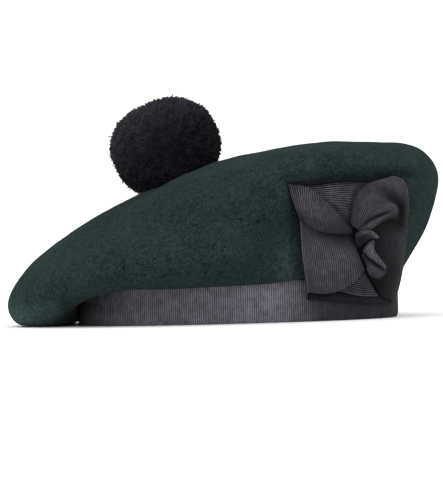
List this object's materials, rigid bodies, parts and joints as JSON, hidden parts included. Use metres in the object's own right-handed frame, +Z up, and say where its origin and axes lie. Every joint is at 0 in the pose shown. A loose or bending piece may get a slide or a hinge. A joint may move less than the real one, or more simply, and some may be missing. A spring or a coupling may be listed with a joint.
{
  "type": "balmoral bonnet",
  "caption": "Dark green felt bonnet with a full crown pulled down to one side, black ribbon band, woollen toorie on top and a folded ribbon cockade on the raised side.",
  "frame": {"origin": "on the plane that the hat rests on, under the middle of its reach from side to side and from front to back", "axes": "+Z up; +X towards the side that carries the cockade, -X towards the side that the crown hangs down to; -Y is the face in the picture's view, +Y the far side"},
  "size_m": [0.265, 0.233, 0.1351],
  "materials": {
    "felt": "fulled wool felt with a short nap, matt",
    "band_ribbon": "black ribbon with fine upright ribs, dull sheen",
    "yarn": "cut wool pile, matt",
    "ground_ribbon": "black ribbon, dull",
    "cockade_ribbon": "black grosgrain with fine ribs, dull sheen"
  },
  "bodies": {
    "root": {"crown": "felt", "band": "band_ribbon", "toorie": "yarn", "cockade_ground": "ground_ribbon", "cockade_top_loop": "cockade_ribbon", "cockade_left_upper_loop": "cockade_ribbon", "cockade_top_right_loop": "cockade_ribbon", "cockade_left_lower_loop": "cockade_ribbon", "cockade_bottom_loop": "cockade_ribbon", "cockade_lower_right_fold": "cockade_ribbon", "cockade_right_loop": "cockade_ribbon", "cockade_knot": "cockade_ribbon"}
  },
  "joints": []
}
